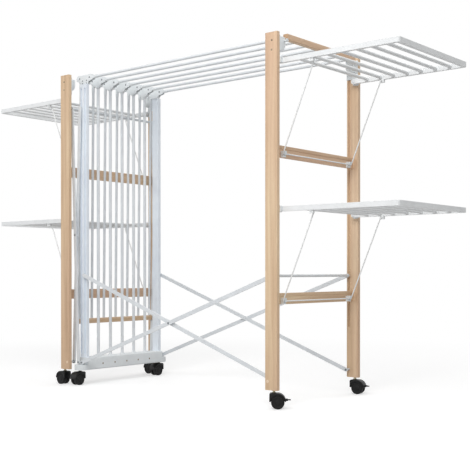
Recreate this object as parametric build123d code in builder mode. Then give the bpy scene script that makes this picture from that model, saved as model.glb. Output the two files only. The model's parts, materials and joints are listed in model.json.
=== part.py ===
from build123d import *
import os
from math import acos, cos, degrees, radians, sin

# Folding clothes drying rack: a white centre frame with a wooden end frame on
# each side.  A scissor brace near and far joins each end frame to the centre.
# The right half is pulled out, the left half is folded in.
# +X runs along the rack, +Y to its far side, +Z up; the floor is z = 0.

# ---- overall ----
HALF_DEPTH = 309.0          # outer faces of the near and far uprights
WOOD_BOTTOM = 74.0          # underside of the uprights, above the casters
WOOD_TOP = 1504.0
FRAME_EDGE = 603.0          # edge of an end frame that faces the middle
CENTRE_X = -557.7           # middle plane of the centre frame

# ---- wooden end frames ----
STILE_W, STILE_T = 60.7, 19.4
GROOVE_W, GROOVE_D = 8.0, 6.0
GROOVE_Z = (300.0, 1440.0)
RAIL_U = (22.4, 32.4)       # cross rails, from the edge facing the middle
RAIL_Z = ((416.0, 462.0), (1009.0, 1059.0))
SCREW_Z = (1433.0, 1471.0)
STEM_U, STEM_D, STEM_DEPTH = 39.0, 8.0, 20.0

# ---- scissor braces ----
BRACE_L, BRACE_W, BRACE_T = 1235.5, 17.0, 6.0
PIVOT_U = 13.3              # brace pivots in an end frame
PIVOT_C = 13.0              # brace pivots off the centre plane
PIVOT_Z = 109.0
BRACE_B_V = 30.0            # outer faces, from the outside of the rack
BRACE_A_V = 41.0
ROD_D = 12.0

# ---- centre frame ----
BEAM_W, BEAM_Y, BEAM_Z = 68.0, 257.0, (72.0, 132.0)
FOOT_Y, FOOT_H = 267.0, 26.0    # round feet under the brace pivots
POST_W, POST_T, POST_V = 44.0, 20.0, 52.0
SLOT_W, SLOT_D, SLOT_Z = 10.0, 8.0, (150.0, 1440.0)
TUBE_D, TUBE_WALL, PITCH = 15.0, 1.0, 80.0
HEAD_X, HEAD_T, HEAD_Z = 58.0, 16.0, (1458.0, 1504.0)

# ---- clothes grids ----
GRID_X, GRID_Z = 35.0, 1490.0
GRID_R, GRID_TUBE_D = 1185.0, 13.0
LUG_L, LUG_H, LUG_T = 32.0, 13.0, 9.0
GRID_BAR = (24.0, 500.0, 25.0)
GRID_DROP = {1: 0.0, -1: 89.3}

# ---- wings and their stays ----
WING_U, WING_Z = 52.3, {"lower": 799.8, "upper": 1393.6}
WING_END = 591.3
WING_V, WING_W, WING_H = 33.0, 16.0, 20.0
SLAT_U, SLAT_STEP, SLAT_N = 127.3, 66.0, 7
SLAT_W, SLAT_H = 16.0, 12.0
CATCH_R, CATCH_DROP = 147.0, 16.0
STAY_D, STAY_V = 5.5, 57.0
STAY_FOOT = (-4.0, -370.0)  # bottom leg from the wing's hinge
CLIP_V = (62.0, 76.0)

# ---- casters ----
WHEEL_R, WHEEL_OFFSET, WHEEL_T, WHEEL_Y = 27.0, 15.0, 14.0, 13.5
HOOD_R, HOOD_W, HOOD_TOP, HOOD_FRONT, HOOD_RIM = 32.0, 42.0, 60.0, -19.0, 30.0
WEB_R, WEB_T, AXLE_D = 23.0, 10.0, 6.0
BRAKE_X, BRAKE_Z, BRAKE_REACH = 53.0, 37.0, 14.0
CASTERS = {                     # stem x and y, and the way the wheels trail
    "left_near": (-FRAME_EDGE - STEM_U, -299.3, 180.0),
    "left_far": (-FRAME_EDGE - STEM_U, 299.3, 180.0),
    "right_near": (FRAME_EDGE + STEM_U, -299.3, 37.0),
    "right_far": (FRAME_EDGE + STEM_U, 299.3, 12.0),
    "centre_near": (CENTRE_X - 9.0, -270.0, 270.0),
    "centre_far": (CENTRE_X - 9.0, 270.0, 270.0),
}

os.makedirs("parts", exist_ok=True)


def block(x, y, z, mode=Mode.ADD):
    """A box between two values on each axis."""
    with Locations(((x[0] + x[1]) / 2, (y[0] + y[1]) / 2, (z[0] + z[1]) / 2)):
        Box(abs(x[1] - x[0]), abs(y[1] - y[0]), abs(z[1] - z[0]), mode=mode)


def pin(x, y, z, d, mode=Mode.ADD):
    """A round pin or bore along Y between two values."""
    with Locations((x, (y[0] + y[1]) / 2, z)):
        Cylinder(d / 2, abs(y[1] - y[0]), rotation=(90, 0, 0), mode=mode)


def across(u, s):
    """World x of a distance from an end frame's edge."""
    return s * (FRAME_EDGE + u)


def inward(v, t):
    """World y of a distance in from the rack's outer face."""
    return t * (HALF_DEPTH - v)


# ==== centre frame ====
with BuildPart() as centre_beam:
    block((CENTRE_X - BEAM_W / 2, CENTRE_X + BEAM_W / 2), (-BEAM_Y, BEAM_Y), BEAM_Z)
    fillet(centre_beam.edges().filter_by(Axis.Y), 6)
    block((CENTRE_X - BEAM_W / 2 + 6, CENTRE_X + BEAM_W / 2 - 6), (-BEAM_Y + 5, BEAM_Y - 5),
          (BEAM_Z[0] + 4, BEAM_Z[1] - 4), mode=Mode.SUBTRACT)
    with Locations(*[(CENTRE_X, PITCH * k, BEAM_Z[1]) for k in range(-2, 3)]):
        Cylinder(TUBE_D / 2 + 0.1, 20, mode=Mode.SUBTRACT)
    for s in (-1, 1):
        for t in (-1, 1):
            pin(CENTRE_X + s * PIVOT_C, (t * (BEAM_Y - 8), t * (BEAM_Y + 1)), PIVOT_Z, 8.8, mode=Mode.SUBTRACT)
    with BuildSketch(Plane.XY.offset(BEAM_Z[0])):
        for t in (-1, 1):
            with Locations((CENTRE_X, t * (BEAM_Y - 12 + FOOT_Y) / 2)):
                Rectangle(BEAM_W, FOOT_Y - BEAM_Y + 12)
            with Locations((CENTRE_X, t * FOOT_Y)):
                Circle(BEAM_W / 2)
    extrude(amount=FOOT_H)
    for name in ("centre_near", "centre_far"):
        with Locations((CASTERS[name][0], CASTERS[name][1], BEAM_Z[0])):
            Cylinder(STEM_D / 2 + 0.3, 2 * STEM_DEPTH + 4, mode=Mode.SUBTRACT)
centre_beam.part.label = "centre_beam"
export_step(centre_beam.part, "parts/centre_beam.step")

for where, t in (("near", -1), ("far", 1)):
    with BuildPart() as centre_upright:
        block((CENTRE_X - POST_W / 2, CENTRE_X + POST_W / 2),
              (inward(POST_V, t), inward(POST_V + POST_T, t)), (BEAM_Z[1], HEAD_Z[0]))
        fillet(centre_upright.edges().filter_by(Axis.Z), 2.5)
        for s in (-1, 1):
            x = CENTRE_X + s * PIVOT_C
            block((x - SLOT_W / 2, x + SLOT_W / 2),
                  (inward(POST_V - 1, t), inward(POST_V + SLOT_D, t)), SLOT_Z, mode=Mode.SUBTRACT)
    centre_upright.part.label = f"centre_upright_{where}"
    export_step(centre_upright.part, f"parts/centre_upright_{where}.step")

with BuildPart() as centre_tubes:
    with BuildSketch(Plane.XY.offset(BEAM_Z[0] + 4)):
        with Locations(*[(CENTRE_X, PITCH * k) for k in range(-2, 3)]):
            Circle(TUBE_D / 2)
            Circle(TUBE_D / 2 - TUBE_WALL, mode=Mode.SUBTRACT)
    extrude(amount=HEAD_Z[0] - BEAM_Z[0] - 4)
centre_tubes.part.label = "centre_tubes"
export_step(centre_tubes.part, "parts/centre_tubes.step")

with BuildPart() as top_connectors:
    for k in range(-3, 4):
        with BuildSketch(Plane.XZ.offset(-PITCH * k - HEAD_T / 2)):
            with BuildLine():
                Polyline((CENTRE_X - HEAD_X, 1478), (CENTRE_X - HEAD_X, 1504), (CENTRE_X + HEAD_X, 1504),
                         (CENTRE_X + HEAD_X, 1478), (CENTRE_X + 30, 1472), (CENTRE_X + 20, 1458),
                         (CENTRE_X - 20, 1458), (CENTRE_X - 30, 1472), close=True)
            make_face()
        extrude(amount=HEAD_T)
    fillet(top_connectors.edges().filter_by(Axis.Y).group_by(Axis.Z)[-1], 12)
    for s in (-1, 1):
        for k in range(-3, 4):
            block((CENTRE_X + s * 24, CENTRE_X + s * 60), (PITCH * k - 5, PITCH * k + 5), (1450, 1510),
                  mode=Mode.SUBTRACT)
            pin(CENTRE_X + s * GRID_X, (PITCH * k - 8, PITCH * k + 8), GRID_Z, 5.0)
top_connectors.part.label = "top_connectors"
export_step(top_connectors.part, "parts/top_connectors.step")

with BuildPart() as centre_screws:
    with Locations(*[(CENTRE_X + BEAM_W / 2 + 0.75, PITCH * k, 98.5) for k in range(-2, 3)]):
        Cylinder(4.0, 1.5, rotation=(0, 90, 0))
centre_screws.part.label = "centre_screws"
export_step(centre_screws.part, "parts/centre_screws.step")


def wooden_upright(side, s, where, t):
    """One upright: grooved inside for the brace pin, drilled for brace and caster."""
    with BuildPart() as upright:
        block((across(0, s), across(STILE_W, s)), (inward(0, t), inward(STILE_T, t)), (WOOD_BOTTOM, WOOD_TOP))
        fillet(upright.edges().filter_by(Axis.Z), 3)
        block((across(PIVOT_U - GROOVE_W / 2, s), across(PIVOT_U + GROOVE_W / 2, s)),
              (inward(STILE_T - GROOVE_D, t), inward(STILE_T + 1, t)), GROOVE_Z, mode=Mode.SUBTRACT)
        pin(across(PIVOT_U, s), (inward(-1, t), inward(STILE_T + 1, t)), PIVOT_Z, 9.8, mode=Mode.SUBTRACT)
        with Locations((across(STEM_U, s), inward(9.7, t), WOOD_BOTTOM)):
            Cylinder(STEM_D / 2 + 0.3, 2 * STEM_DEPTH + 10, mode=Mode.SUBTRACT)
    upright.part.label = f"{side}_upright_{where}"
    export_step(upright.part, f"parts/{side}_upright_{where}.step")


def end_frame(side, s):
    """Rails, grid rests, wing hinges, stay clips and screws of one end frame."""
    with BuildPart() as crossbars:
        for z in RAIL_Z:
            block((across(RAIL_U[0], s), across(RAIL_U[1], s)),
                  (-HALF_DEPTH + STILE_T, HALF_DEPTH - STILE_T), z)
        fillet(crossbars.edges().filter_by(Axis.Y), 2)
        for z in RAIL_Z:
            for f in (0.3, 0.7):
                zc = z[0] + f * (z[1] - z[0])
                block((across(RAIL_U[1] - 1.5, s), across(RAIL_U[1] + 1, s)),
                      (-HALF_DEPTH + STILE_T, HALF_DEPTH - STILE_T), (zc - 1.5, zc + 1.5), mode=Mode.SUBTRACT)
    crossbars.part.label = f"{side}_crossbars"
    export_step(crossbars.part, f"parts/{side}_crossbars.step")

    with BuildPart() as top_rests:
        for t in (-1, 1):
            x = sorted((across(18, s), across(60, s)))
            with BuildSketch(Plane.YZ.offset(x[0])):
                with BuildLine():
                    Polyline((inward(19.4, t), 1410), (inward(19.4, t), 1499), (inward(57.4, t), 1499),
                             (inward(57.4, t), 1470), (inward(27, t), 1410), close=True)
                make_face()
            extrude(amount=x[1] - x[0])
            block((across(44, s), across(74, s)), (inward(44, t), inward(61.5, t)), (1471, 1476))
            block((across(72, s), across(74, s)), (inward(44, t), inward(58, t)), (1476, 1481))
    top_rests.part.label = f"{side}_top_rests"
    export_step(top_rests.part, f"parts/{side}_top_rests.step")

    with BuildPart() as wing_hinges:
        for z in WING_Z.values():
            for t in (-1, 1):
                block((across(40, s), across(64, s)), (inward(19.4, t), inward(31.5, t)), (z - 14, z + 14))
        fillet(wing_hinges.edges().filter_by(Axis.Y), 6)
        for z in WING_Z.values():
            for t in (-1, 1):
                pin(across(WING_U, s), (inward(31, t), inward(46, t)), z, 8.0)
    wing_hinges.part.label = f"{side}_wing_hinges"
    export_step(wing_hinges.part, f"parts/{side}_wing_hinges.step")

    with BuildPart() as stay_clips:
        for z in WING_Z.values():
            foot = (across(WING_U + STAY_FOOT[0], s), z + STAY_FOOT[1])
            away = (s * cos(radians(-68)), sin(radians(-68)))
            side_x, side_z = -away[1] * 3.05, away[0] * 3.05
            for t in (-1, 1):
                y = sorted((inward(CLIP_V[0], t), inward(CLIP_V[1], t)))
                block((across(RAIL_U[1], s), across(53.4, s)), y, (foot[1] - 13, foot[1] + 12))
                with BuildSketch(Plane.XZ.offset(-y[1])):
                    with BuildLine():
                        Polyline((foot[0] + side_x, foot[1] + side_z), (foot[0] - side_x, foot[1] - side_z),
                                 (foot[0] - side_x + 30 * away[0], foot[1] - side_z + 30 * away[1]),
                                 (foot[0] + side_x + 30 * away[0], foot[1] + side_z + 30 * away[1]), close=True)
                    make_face()
                    with Locations(foot):
                        Circle(3.05)
                extrude(amount=y[1] - y[0], mode=Mode.SUBTRACT)
    stay_clips.part.label = f"{side}_stay_clips"
    export_step(stay_clips.part, f"parts/{side}_stay_clips.step")

    with BuildPart() as frame_screws:
        for t in (-1, 1):
            for z in SCREW_Z:
                pin(across(34.3, s), (inward(-1.2, t), inward(0, t)), z, 8.0)
    frame_screws.part.label = f"{side}_frame_screws"
    export_step(frame_screws.part, f"parts/{side}_frame_screws.step")


def braces(side, s):
    """Scissor bars: B rises from the centre's foot, A from the end frame's foot."""
    x_c, x_f = CENTRE_X + s * PIVOT_C, across(PIVOT_U, s)
    rise = BRACE_L * sin(acos(abs(x_f - x_c) / BRACE_L))
    angle = degrees(acos(abs(x_f - x_c) / BRACE_L))
    mid = ((x_c + x_f) / 2, PIVOT_Z + rise / 2)

    with BuildPart() as braces_b:
        for t in (-1, 1):
            y = sorted((inward(BRACE_B_V, t), inward(BRACE_B_V + BRACE_T, t)))
            with BuildSketch(Plane.XZ.offset(-y[1])):
                with Locations(mid):
                    SlotCenterToCenter(BRACE_L, BRACE_W, rotation=s * angle)
            extrude(amount=BRACE_T)
            pin(x_c, (inward(36, t), inward(59, t)), PIVOT_Z, 8.0)
            pin(x_f, (inward(14.5, t), inward(30, t)), PIVOT_Z + rise, 7.0)
            pin(mid[0], (inward(36, t), inward(40.7, t)), mid[1], 14.0)
            pin(mid[0], (inward(40, t), inward(49, t)), mid[1], 8.0)
    braces_b.part.label = f"{side}_braces_b"
    export_step(braces_b.part, f"parts/{side}_braces_b.step")

    with BuildPart() as brace_rod:
        pin(x_f, (inward(36, -1), inward(36, 1)), PIVOT_Z + rise, ROD_D)
    brace_rod.part.label = f"{side}_brace_rod"
    export_step(brace_rod.part, f"parts/{side}_brace_rod.step")

    with BuildPart() as braces_a:
        for t in (-1, 1):
            y = sorted((inward(BRACE_A_V, t), inward(BRACE_A_V + BRACE_T, t)))
            with BuildSketch(Plane.XZ.offset(-y[1])):
                with Locations(mid):
                    SlotCenterToCenter(BRACE_L, BRACE_W, rotation=-s * angle)
                    Circle(4.4, mode=Mode.SUBTRACT)
            extrude(amount=BRACE_T)
            pin(x_f, (inward(0.3, t), inward(41, t)), PIVOT_Z, 9.0)
            pin(x_c, (inward(47, t), inward(59, t)), PIVOT_Z + rise, 9.0)
    braces_a.part.label = f"{side}_braces_a"
    export_step(braces_a.part, f"parts/{side}_braces_a.step")


def clothes_grid(side, s):
    """Seven tubes from the centre's heads to a wooden bar."""
    a = radians(GRID_DROP[s])
    hinge = Plane(origin=(CENTRE_X + s * GRID_X, 0, GRID_Z), x_dir=(s * cos(a), 0, -sin(a)),
                  z_dir=(s * sin(a), 0, cos(a)) if s > 0 else (sin(a), 0, -cos(a)))
    rows = [PITCH * k for k in range(-3, 4)]
    tube_end = GRID_R - GRID_BAR[0] / 2 + 8

    with BuildPart(hinge) as grid_tubes:
        with Locations(*[((LUG_L + tube_end) / 2, y, 0) for y in rows]):
            Cylinder(GRID_TUBE_D / 2, tube_end - LUG_L, rotation=(0, 90, 0))
            Cylinder(GRID_TUBE_D / 2 - 1, tube_end - LUG_L, rotation=(0, 90, 0), mode=Mode.SUBTRACT)
    grid_tubes.part.label = f"{side}_grid_tubes"
    export_step(grid_tubes.part, f"parts/{side}_grid_tubes.step")

    with BuildPart(hinge) as grid_bar:
        with Locations((GRID_R, 0, 0)):
            Box(*GRID_BAR)
        fillet(grid_bar.edges().filter_by(Axis.Y), 3)
        with Locations(*[(tube_end - 8, y, 0) for y in rows]):
            Cylinder(GRID_TUBE_D / 2 + 0.1, 16, rotation=(0, 90, 0), mode=Mode.SUBTRACT)
    grid_bar.part.label = f"{side}_grid_bar"
    export_step(grid_bar.part, f"parts/{side}_grid_bar.step")

    with BuildPart(hinge) as grid_knuckles:
        for y in rows:
            with Locations((LUG_L / 2, y, 0)):
                Box(LUG_L, LUG_T, LUG_H)
            with Locations((0, y, 0)):
                Cylinder(LUG_H / 2, LUG_T, rotation=(90, 0, 0))
                Cylinder(2.8, LUG_T + 2, rotation=(90, 0, 0), mode=Mode.SUBTRACT)
    grid_knuckles.part.label = f"{side}_grid_knuckles"
    export_step(grid_knuckles.part, f"parts/{side}_grid_knuckles.step")


def wing(side, s, level):
    """A drying wing with its slats, and the wire stay that props it."""
    z = WING_Z[level]
    y_out, y_in = HALF_DEPTH - WING_V, HALF_DEPTH - WING_V - WING_W
    with BuildPart() as wing_frame:
        with BuildSketch(Plane.XY.offset(z - WING_H / 2)):
            with BuildLine():
                Polyline((across(WING_U - 10, s), y_out), (across(WING_END, s), y_out),
                         (across(WING_END, s), -y_out), (across(WING_U - 10, s), -y_out),
                         (across(WING_U - 10, s), -y_in), (across(WING_END - WING_W, s), -y_in),
                         (across(WING_END - WING_W, s), y_in), (across(WING_U - 10, s), y_in), close=True)
            make_face()
        extrude(amount=WING_H)
        ends = wing_frame.edges().filter_by(Axis.Z).group_by(Axis.X)
        fillet(ends[-1] if s > 0 else ends[0], 12)
        fillet(wing_frame.edges().filter_by(Axis.Y).group_by(Axis.X)[0 if s > 0 else -1], 8)
        for t in (-1, 1):
            pin(across(WING_U, s), (inward(WING_V - 1, t), inward(WING_V + WING_W + 1, t)), z, 8.8,
                mode=Mode.SUBTRACT)
            u = WING_U + CATCH_R
            block((across(u - 9, s), across(u + 9, s)), (inward(36, t), inward(49, t)), (z - 23, z - 10))
            pin(across(u, s), (inward(35, t), inward(50, t)), z - CATCH_DROP, 6.2, mode=Mode.SUBTRACT)
    wing_frame.part.label = f"{side}_{level}_wing_frame"
    export_step(wing_frame.part, f"parts/{side}_{level}_wing_frame.step")

    with BuildPart() as wing_slats:
        for k in range(SLAT_N):
            u = SLAT_U + SLAT_STEP * k
            block((across(u - SLAT_W / 2, s), across(u + SLAT_W / 2, s)), (-y_in, y_in),
                  (z - SLAT_H / 2, z + SLAT_H / 2))
        fillet(wing_slats.edges().filter_by(Axis.Y), 5)
    wing_slats.part.label = f"{side}_{level}_wing_slats"
    export_step(wing_slats.part, f"parts/{side}_{level}_wing_slats.step")

    top = (across(WING_U + CATCH_R, s), z - CATCH_DROP)
    foot = (across(WING_U + STAY_FOOT[0], s), z + STAY_FOOT[1])
    with BuildPart() as stay:
        with BuildLine() as wire:
            FilletPolyline((top[0], inward(39, -1), top[1]), (top[0], inward(STAY_V, -1), top[1]),
                           (foot[0], inward(STAY_V, -1), foot[1]), (foot[0], inward(STAY_V, 1), foot[1]),
                           (top[0], inward(STAY_V, 1), top[1]), (top[0], inward(39, 1), top[1]), radius=5)
        with BuildSketch(Plane(origin=wire.line @ 0, z_dir=wire.line % 0)):
            Circle(STAY_D / 2)
        sweep()
    stay.part.label = f"{side}_{level}_stay"
    export_step(stay.part, f"parts/{side}_{level}_stay.step")


def caster(name, x, y, heading, stem_foot):
    """A twin-wheel swivel caster: a hood on a stem, and two wheels trailing it."""
    ahead = (cos(radians(heading)), sin(radians(heading)), 0)
    base = Plane(origin=(x, y, 0), x_dir=ahead, z_dir=(0, 0, 1))
    upright = Plane(origin=(x, y, 0), x_dir=ahead, z_dir=(ahead[1], -ahead[0], 0))
    axle = (WHEEL_OFFSET, 0, WHEEL_R)
    with BuildPart(base) as housing:
        with BuildSketch(upright) as hood:
            with Locations(((HOOD_FRONT + WHEEL_OFFSET) / 2, (HOOD_RIM + HOOD_TOP) / 2)):
                Rectangle(WHEEL_OFFSET - HOOD_FRONT, HOOD_TOP - HOOD_RIM)
            fillet(hood.vertices().group_by(Axis.X)[0].sort_by(Axis.Y)[-1], 6)
            with Locations((WHEEL_OFFSET, WHEEL_R)):
                Circle(HOOD_R)
            with Locations((WHEEL_OFFSET, HOOD_RIM - HOOD_R)):
                Rectangle(3 * HOOD_R, 2 * HOOD_R, mode=Mode.SUBTRACT)
        extrude(amount=HOOD_W / 2, both=True)
        for t in (-1, 1):
            with Locations((WHEEL_OFFSET, t * (WEB_T / 2 + HOOD_W / 4), WHEEL_R)):
                Cylinder(WHEEL_R + 1.2, HOOD_W / 2, rotation=(90, 0, 0), mode=Mode.SUBTRACT)
        with Locations(axle):
            Cylinder(WEB_R, WEB_T, rotation=(90, 0, 0))
            Cylinder(AXLE_D / 2 + 0.4, WEB_T + 2, rotation=(90, 0, 0), mode=Mode.SUBTRACT)
        with Locations((0, 0, HOOD_TOP + 2)):
            Cylinder(7, 8)
        with Locations((0, 0, (HOOD_TOP + stem_foot + STEM_DEPTH) / 2)):
            Cylinder(STEM_D / 2, stem_foot + STEM_DEPTH - HOOD_TOP)
        if name.startswith("right"):
            for t in (-1, 1):
                block((BRAKE_X - 10, BRAKE_X + 3.5), (t * 8.5, t * 11), (BRAKE_Z - 5, BRAKE_Z + 4))
            pin(BRAKE_X, (-9, 9), BRAKE_Z, 3.0)
    housing.part.label = f"{name}_caster_housing"
    export_step(housing.part, f"parts/{name}_caster_housing.step")

    with BuildPart(base) as wheels:
        for t in (-1, 1):
            with Locations((WHEEL_OFFSET, t * WHEEL_Y, WHEEL_R)):
                Cylinder(WHEEL_R, WHEEL_T, rotation=(90, 0, 0))
        fillet(wheels.edges().filter_by(GeomType.CIRCLE), 3)
        with Locations(axle):
            Cylinder(AXLE_D / 2, 2 * WHEEL_Y, rotation=(90, 0, 0))
    wheels.part.label = f"{name}_caster_wheels"
    export_step(wheels.part, f"parts/{name}_caster_wheels.step")

    if name.startswith("right"):
        with BuildPart(base) as brake:
            block((BRAKE_X, BRAKE_X + BRAKE_REACH), (-8, 8), (BRAKE_Z - 1.5, BRAKE_Z + 1.5))
            pin(BRAKE_X, (-8, 8), BRAKE_Z, 5.0)
            pin(BRAKE_X, (-9, 9), BRAKE_Z, 3.5, mode=Mode.SUBTRACT)
        brake.part.label = f"{name}_brake_lever"
        export_step(brake.part, f"parts/{name}_brake_lever.step")


for side, s in (("left", -1), ("right", 1)):
    for where, t in (("near", -1), ("far", 1)):
        wooden_upright(side, s, where, t)
    end_frame(side, s)
    braces(side, s)
    clothes_grid(side, s)
    for level in ("upper", "lower"):
        wing(side, s, level)

for name, (x, y, heading) in CASTERS.items():
    caster(name, x, y, heading, BEAM_Z[0] if name.startswith("centre") else WOOD_BOTTOM)
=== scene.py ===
"""Folding clothes drying rack: beech end frames, white grids, wings and casters.

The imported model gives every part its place. This script dresses those parts
and adds the small turned and moulded pieces that finish them. Sizes are in
metres.
"""

from __future__ import annotations

import json
import logging
import math
from dataclasses import dataclass
from enum import Enum
from typing import Any, Iterable, Sequence

import bmesh
import bpy
from mathutils import Matrix, Vector

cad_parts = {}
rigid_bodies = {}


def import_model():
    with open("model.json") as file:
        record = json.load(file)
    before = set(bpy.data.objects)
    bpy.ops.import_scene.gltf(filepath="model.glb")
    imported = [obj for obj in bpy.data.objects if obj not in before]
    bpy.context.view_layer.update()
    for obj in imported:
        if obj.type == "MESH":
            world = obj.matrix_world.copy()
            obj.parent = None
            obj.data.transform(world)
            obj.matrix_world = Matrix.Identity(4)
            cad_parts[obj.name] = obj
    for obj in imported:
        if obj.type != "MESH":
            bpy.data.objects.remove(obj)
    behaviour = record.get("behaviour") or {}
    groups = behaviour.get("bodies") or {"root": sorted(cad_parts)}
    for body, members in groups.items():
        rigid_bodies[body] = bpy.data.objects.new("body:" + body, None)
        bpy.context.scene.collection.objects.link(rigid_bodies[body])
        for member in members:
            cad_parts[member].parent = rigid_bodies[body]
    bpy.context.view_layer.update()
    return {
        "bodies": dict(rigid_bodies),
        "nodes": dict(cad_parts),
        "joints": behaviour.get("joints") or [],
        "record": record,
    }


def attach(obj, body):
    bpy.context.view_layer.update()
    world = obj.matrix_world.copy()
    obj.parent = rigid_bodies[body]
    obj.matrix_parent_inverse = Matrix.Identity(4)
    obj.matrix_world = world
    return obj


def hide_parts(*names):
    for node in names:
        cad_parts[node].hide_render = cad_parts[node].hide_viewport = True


log = logging.getLogger("drying_rack")

Point = tuple[float, float, float]
Flat = tuple[float, float]
Profile = tuple[Flat, ...]  # (radius, height) points of a turned shape
Colour = tuple[float, float, float]
Shape = tuple[bpy.types.Mesh, Matrix]

HALF_DEPTH = 0.309  # from the middle to the uprights' outer faces
FRAME_EDGE = 0.603  # from the middle to the end frames' inner edges
CENTRE_X = -0.5577  # the centre frame's middle plane
TUBE_PITCH = 0.080
POST_TUBES = range(-2, 3)  # the centre frame's tubes, in pitches from the middle
GRID_TUBES = range(-3, 4)  # a grid's tubes, and the heads that carry them
GRID_PIVOT_X, GRID_PIVOT_Z = 0.035, 1.490  # a grid's pivots: off the centre frame's plane, height
PIVOT_U = 0.0133  # the braces' lower pivots in the end frames, outward from their inner edges
PIVOT_C = 0.013  # those in the centre frame, off its plane
PIVOT_Z = 0.109
BRACE_LENGTH = 1.2355
HEADINGS = {  # the way each caster trails, in degrees round from +X
    "left_near": 180.0, "left_far": 180.0, "right_near": 37.0, "right_far": 12.0,
    "centre_near": 270.0, "centre_far": 270.0,
}
ACROSS = (0.0, 1.0, 0.0)
DOWN = (0.0, 0.0001, -1.0)  # a hair off plumb, which leaves aim() one way to turn
WHITE = (1.0, 1.0, 1.0)


class Side(Enum):
    """Which half of the rack, with the sign of its x."""

    LEFT = -1
    RIGHT = 1

    @property
    def word(self) -> str:
        """The half's name as the frame's nodes spell it."""
        return self.name.lower()

    @property
    def grid_drop(self) -> float:
        """How far the half's grid hangs down from level, in degrees."""
        return 0.0 if self is Side.RIGHT else 89.3

    def x(self, outward: float) -> float:
        """World x of a distance outward from the end frame's inner edge."""
        return self.value * (FRAME_EDGE + outward)


class Row(Enum):
    """The near or the far side of the rack, as the sign of y."""

    NEAR = -1
    FAR = 1

    @property
    def word(self) -> str:
        """The row's name as the frame's nodes spell it."""
        return self.name.lower()

    def y(self, inward: float) -> float:
        """World y of a distance in from the rack's outer face."""
        return self.value * (HALF_DEPTH - inward)


class Grain(Enum):
    """The direction that a board's fibres run in."""

    ALONG_X = 0
    ALONG_Y = 1
    ALONG_Z = 2

    def stretch(self, along: float, across: float) -> Point:
        """Mapping scale that draws a pattern out along the fibres.

        Args:
            along: Scale in the fibres' direction.
            across: Scale in the two other directions.

        Returns:
            One scale for each axis.
        """
        return tuple(along if axis == self.value else across for axis in range(3))


def linear(red: int, green: int, blue: int) -> Colour:
    """A display colour of 0 to 255 per channel, as linear light."""
    shares = (red / 255, green / 255, blue / 255)
    return tuple(c / 12.92 if c < 0.04045 else ((c + 0.055) / 1.055) ** 2.4 for c in shares)


class Value:
    """A number that varies over a surface, written as an expression."""

    def __init__(self, tree: Tree, socket: bpy.types.NodeSocket) -> None:
        """Wraps one output socket of a tree."""
        self.tree = tree
        self.socket = socket

    def __add__(self, other: Value | float) -> Value:
        """self + other."""
        return self.tree.maths("ADD", self, other)

    def __radd__(self, other: float) -> Value:
        """other + self."""
        return self.tree.maths("ADD", other, self)

    def __sub__(self, other: Value | float) -> Value:
        """self - other."""
        return self.tree.maths("SUBTRACT", self, other)

    def __rsub__(self, other: float) -> Value:
        """other - self."""
        return self.tree.maths("SUBTRACT", other, self)

    def __mul__(self, other: Value | float) -> Value:
        """self * other."""
        return self.tree.maths("MULTIPLY", self, other)

    def __rmul__(self, other: float) -> Value:
        """other * self."""
        return self.tree.maths("MULTIPLY", other, self)

    def __pow__(self, other: float) -> Value:
        """self raised to a power."""
        return self.tree.maths("POWER", self, other)

    def __abs__(self) -> Value:
        """The size of this, without its sign."""
        return self.tree.maths("ABSOLUTE", self, 0.0)

    def at_least(self, other: Value | float) -> Value:
        """The larger of this and another."""
        return self.tree.maths("MAXIMUM", self, other)

    def above(self, level: float, gain: float) -> Value:
        """How far this rises above a level, times a gain, and 0 below it."""
        return ((self - level) * gain).at_least(0.0)


class Tree:
    """A node tree that patterns and expressions are written into."""

    def __init__(self, graph: bpy.types.NodeTree) -> None:
        """Takes a tree over, emptied."""
        self.graph = graph
        self.graph.nodes.clear()

    def node(
        self, kind: str, settings: dict[str, Any] | None = None, sockets: dict[str | int, Any] | None = None
    ) -> bpy.types.Node:
        """Adds a node.

        Args:
            kind: The node's type.
            settings: Its properties, set first; "stops" are a ramp's colours.
            sockets: Values or links for its inputs.

        Returns:
            The new node.
        """
        made = self.graph.nodes.new(kind)
        for key, value in (settings or {}).items():
            if key == "stops":
                ramp = made.color_ramp
                while len(ramp.elements) < len(value):
                    ramp.elements.new(0.5)
                for stop, (place, colour) in zip(ramp.elements, value):
                    stop.position, stop.color = place, (*colour, 1.0)
            else:
                setattr(made, key, value)
        for key, value in (sockets or {}).items():
            target = made.inputs[key]
            if isinstance(value, Value):
                value = value.socket
            if isinstance(value, bpy.types.NodeSocket):
                self.graph.links.new(value, target)
            elif isinstance(value, tuple) and len(value) == 3 and target.type == "RGBA":
                target.default_value = (*value, 1.0)
            else:
                target.default_value = value
        return made

    def maths(self, operation: str, left: Value | float, right: Value | float) -> Value:
        """Adds a Math node for an operation on two numbers."""
        made = self.node("ShaderNodeMath", {"operation": operation}, {0: left, 1: right})
        return Value(self, made.outputs[0])

    def seen(self) -> Value:
        """1 for rays from the camera or off a glossy surface, 0 for all others."""
        rays = self.node("ShaderNodeLightPath").outputs
        return Value(self, rays["Is Camera Ray"]).at_least(Value(self, rays["Is Glossy Ray"]))


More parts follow.
